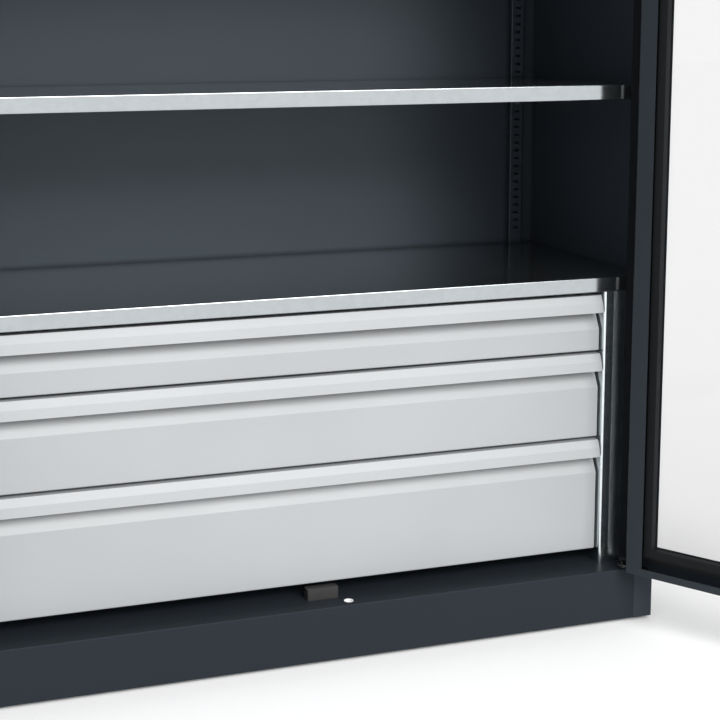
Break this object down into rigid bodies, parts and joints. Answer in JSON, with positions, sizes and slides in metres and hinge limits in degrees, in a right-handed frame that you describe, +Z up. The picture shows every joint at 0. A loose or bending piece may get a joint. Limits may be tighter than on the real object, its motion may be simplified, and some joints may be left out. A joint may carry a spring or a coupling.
{
  "type": "workshop cupboard with drawers",
  "caption": "Sheet steel workshop cupboard with windowed swing doors, galvanised shelves, a block of grip-lip drawers in its base and a handle that drives locking rods.",
  "frame": {"origin": "on the floor, in the middle of the bounding box with both doors open", "axes": "+X to the right of someone who faces the cupboard, +Y from its front to its back, +Z up"},
  "size_m": [1.7057, 0.9805, 1.95],
  "materials": {
    "anthracite_paint": "satin powder coat",
    "light_grey_paint": "satin powder coat",
    "galvanised_steel": "bright galvanised",
    "bright_steel": "satin",
    "blackened_steel": "satin, oxide blackened",
    "black_plastic": "matt",
    "light_plastic": "matt",
    "black_rubber": "matt",
    "clear_pane": "clear"
  },
  "bodies": {
    "cabinet": {"side_panel_left": "anthracite_paint", "side_panel_right": "anthracite_paint", "back_panel": "anthracite_paint", "bottom_panel": "anthracite_paint", "top_panel": "anthracite_paint", "rear_rail_left": "anthracite_paint", "rear_rail_right": "anthracite_paint", "drawer_cover_shelf": "galvanised_steel", "lower_shelf": "galvanised_steel", "middle_shelf": "galvanised_steel", "upper_shelf": "galvanised_steel", "shelf_clips": "galvanised_steel", "drawer_housing_left": "galvanised_steel", "drawer_housing_right": "galvanised_steel", "outer_slides_left": "galvanised_steel", "outer_slides_right": "galvanised_steel", "hinge_pins": "blackened_steel", "rod_bushes": "light_plastic", "door_stops": "black_plastic", "glides": "black_plastic"},
    "right_door": {"right_door_panel": "anthracite_paint", "right_door_window": "clear_pane", "right_door_window_seal": "black_rubber", "right_door_window_frame": "anthracite_paint", "right_hinge_plates": "bright_steel", "lock_case": "black_plastic", "rod_guides": "black_plastic", "escutcheon": "black_plastic"},
    "left_door": {"left_door_panel": "anthracite_paint", "left_door_window": "clear_pane", "left_door_window_seal": "black_rubber", "left_door_window_frame": "anthracite_paint", "left_hinge_plates": "bright_steel", "meeting_strip": "anthracite_paint"},
    "lock_handle": {"handle": "black_plastic", "lock_pinion": "bright_steel"},
    "lock_barrel": {"lock_cylinder": "bright_steel"},
    "lower_rod": {"lower_locking_rod": "bright_steel"},
    "upper_rod": {"upper_locking_rod": "bright_steel"},
    "lower_drawer": {"lower_drawer_front": "light_grey_paint", "lower_drawer_tray": "light_grey_paint", "lower_drawer_inner_slide_left": "galvanised_steel", "lower_drawer_inner_slide_right": "galvanised_steel"},
    "lower_drawer_slides": {"lower_drawer_middle_slide_left": "galvanised_steel", "lower_drawer_middle_slide_right": "galvanised_steel"},
    "middle_drawer": {"middle_drawer_front": "light_grey_paint", "middle_drawer_tray": "light_grey_paint", "middle_drawer_inner_slide_left": "galvanised_steel", "middle_drawer_inner_slide_right": "galvanised_steel"},
    "middle_drawer_slides": {"middle_drawer_middle_slide_left": "galvanised_steel", "middle_drawer_middle_slide_right": "galvanised_steel"},
    "upper_drawer": {"upper_drawer_front": "light_grey_paint", "upper_drawer_tray": "light_grey_paint", "upper_drawer_inner_slide_left": "galvanised_steel", "upper_drawer_inner_slide_right": "galvanised_steel"},
    "upper_drawer_slides": {"upper_drawer_middle_slide_left": "galvanised_steel", "upper_drawer_middle_slide_right": "galvanised_steel"}
  },
  "joints": [
    {"name": "right_door_swing", "type": "hinge", "parent": "cabinet", "child": "right_door", "pos_m": [0.5465, -0.00786, 0.095], "axis": [0, 0, 1], "range_deg": [-122, 0]},
    {"name": "left_door_swing", "type": "hinge", "parent": "cabinet", "child": "left_door", "pos_m": [-0.5465, -0.00786, 0.095], "axis": [0, 0, -1], "range_deg": [-122, 0]},
    {"name": "lower_drawer_slide", "type": "slide", "parent": "cabinet", "child": "lower_drawer", "axis": [0, -1, 0], "range_m": [0, 0.37]},
    {"name": "lower_drawer_runner", "type": "slide", "parent": "cabinet", "child": "lower_drawer_slides", "axis": [0, -1, 0], "range_m": [0, 0.185]},
    {"name": "middle_drawer_slide", "type": "slide", "parent": "cabinet", "child": "middle_drawer", "axis": [0, -1, 0], "range_m": [0, 0.37]},
    {"name": "middle_drawer_runner", "type": "slide", "parent": "cabinet", "child": "middle_drawer_slides", "axis": [0, -1, 0], "range_m": [0, 0.185]},
    {"name": "upper_drawer_slide", "type": "slide", "parent": "cabinet", "child": "upper_drawer", "axis": [0, -1, 0], "range_m": [0, 0.37]},
    {"name": "upper_drawer_runner", "type": "slide", "parent": "cabinet", "child": "upper_drawer_slides", "axis": [0, -1, 0], "range_m": [0, 0.185]},
    {"name": "handle_turn", "type": "hinge", "parent": "right_door", "child": "lock_handle", "pos_m": [0.82203, -0.43182, 1.01], "axis": [0.848, 0.5299, 0], "range_deg": [-90, 0]},
    {"name": "cylinder_turn", "type": "hinge", "parent": "lock_handle", "child": "lock_barrel", "pos_m": [0.82203, -0.43182, 1.01], "axis": [0.848, 0.5299, 0], "range_deg": [-90, 0]},
    {"name": "lower_rod_throw", "type": "slide", "parent": "right_door", "child": "lower_rod", "axis": [0, 0, -1], "range_m": [0, 0.01768]},
    {"name": "upper_rod_throw", "type": "slide", "parent": "right_door", "child": "upper_rod", "axis": [0, 0, 1], "range_m": [0, 0.01768]}
  ],
  "couplings": [
    {"joint": "lower_drawer_runner", "follows": "lower_drawer_slide", "ratio": 0.5},
    {"joint": "middle_drawer_runner", "follows": "middle_drawer_slide", "ratio": 0.5},
    {"joint": "upper_drawer_runner", "follows": "upper_drawer_slide", "ratio": 0.5},
    {"joint": "lower_rod_throw", "follows": "handle_turn", "m_per_rad": -0.01125},
    {"joint": "upper_rod_throw", "follows": "handle_turn", "m_per_rad": -0.01125}
  ]
}
